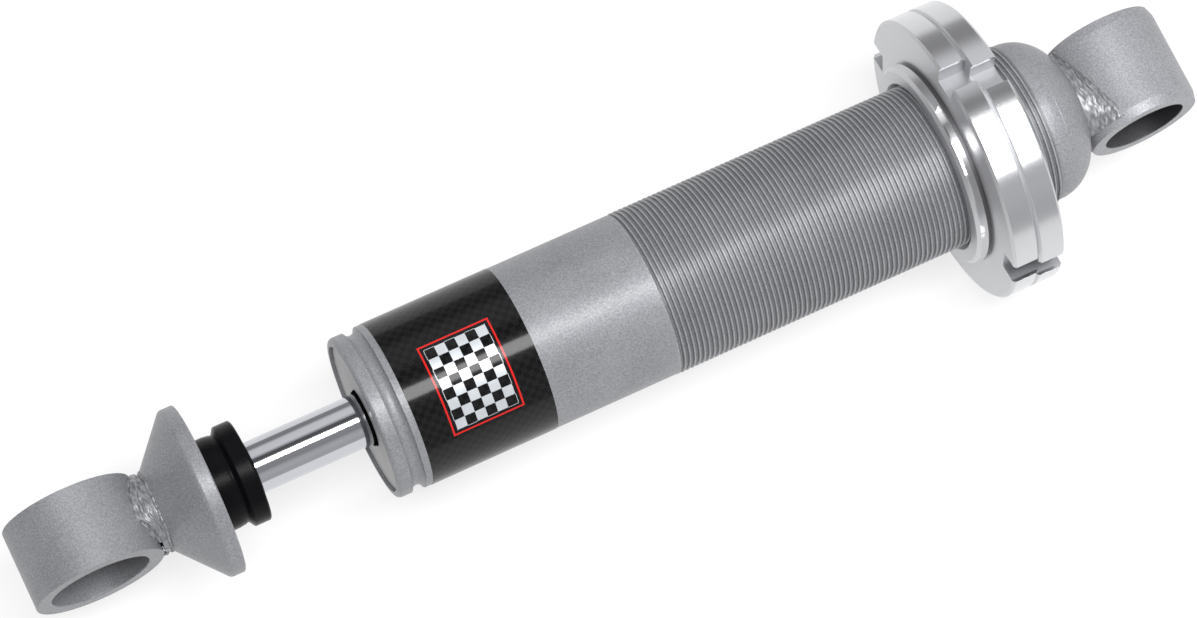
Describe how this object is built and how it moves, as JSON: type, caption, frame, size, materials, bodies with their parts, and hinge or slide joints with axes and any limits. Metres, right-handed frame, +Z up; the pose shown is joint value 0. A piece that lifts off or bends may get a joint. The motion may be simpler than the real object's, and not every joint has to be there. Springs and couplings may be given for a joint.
{
  "type": "gas shock absorber",
  "caption": "Monotube gas shock absorber with a cross-bored eye at each end, a threaded body with notched spring-seat nuts, a seat cone and a rubber bump stop.",
  "frame": {"origin": "centre of the body eye's bore", "axes": "+X along the shock's axis, from the rod eye to the body eye; +Y along both eyes' bores; +Z up, as the shock lies with its bores level"},
  "size_m": [0.3753, 0.0894, 0.0894],
  "materials": {
    "silver_paint": "silver metallic paint, fine grain",
    "weld_metal": "rippled weld, lightly painted",
    "machined_aluminium": "bright turned",
    "hard_chrome": "mirror",
    "black_rubber": "satin black",
    "seal_rubber": "matt black",
    "plate_steel": "plain light grey",
    "bearing_bronze": "plain bearing bronze",
    "spring_steel": "ground",
    "plain_steel": "turned",
    "piston_alloy": "turned",
    "bearing_plastic": "filled bearing plastic"
  },
  "bodies": {
    "shock_body": {"body_tube": "silver_paint", "end_dome": "silver_paint", "body_eye": "silver_paint", "body_eye_weld": "weld_metal", "seal_head": "piston_alloy", "face_plate": "plate_steel", "wiper_seal": "seal_rubber", "rod_seal": "seal_rubber", "guide_bush": "bearing_bronze", "head_o_ring": "seal_rubber", "head_stop_ring": "spring_steel"},
    "piston_slider": {"piston_band": "bearing_plastic"},
    "rod_assembly": {"piston_rod": "hard_chrome", "rod_eye": "silver_paint", "rod_eye_weld": "weld_metal", "seat_cone": "silver_paint", "bump_stop": "black_rubber", "rebound_bumper": "black_rubber", "rebound_washer": "plain_steel", "rebound_ring": "spring_steel", "compression_stop": "plain_steel", "compression_shims": "spring_steel", "piston": "piston_alloy", "rebound_shims": "spring_steel", "rebound_stop": "plain_steel", "piston_nut": "plain_steel"},
    "gas_piston": {"floating_piston": "piston_alloy", "floating_piston_o_ring": "seal_rubber", "floating_piston_band": "bearing_plastic"},
    "lock_nut": {"lock_nut": "machined_aluminium"},
    "seat_nut": {"spring_seat_nut": "machined_aluminium"}
  },
  "joints": [
    {"name": "rod_travel", "type": "slide", "parent": "shock_body", "child": "piston_slider", "axis": [-1, 0, 0], "range_m": [-0.0357, 0.09069]},
    {"name": "rod_turn", "type": "hinge", "parent": "piston_slider", "child": "rod_assembly", "pos_m": [-0.11621, 0, 0], "axis": [1, 0, 0], "continuous": true},
    {"name": "gas_piston_travel", "type": "slide", "parent": "shock_body", "child": "gas_piston", "axis": [-1, 0, 0], "range_m": [-0.0043, 0.01085]},
    {"name": "nut_travel", "type": "slide", "parent": "shock_body", "child": "lock_nut", "axis": [-1, 0, 0], "range_m": [-0.00795, 0.09367]},
    {"name": "seat_nut_turn", "type": "hinge", "parent": "lock_nut", "child": "seat_nut", "pos_m": [-0.0601, 0, 0], "axis": [-1, 0, 0], "range_deg": [-1800, 21240]}
  ],
  "couplings": [
    {"joint": "gas_piston_travel", "follows": "rod_travel", "ratio": 0.1191},
    {"joint": "nut_travel", "follows": "seat_nut_turn", "m_per_rad": 0.00025266}
  ]
}
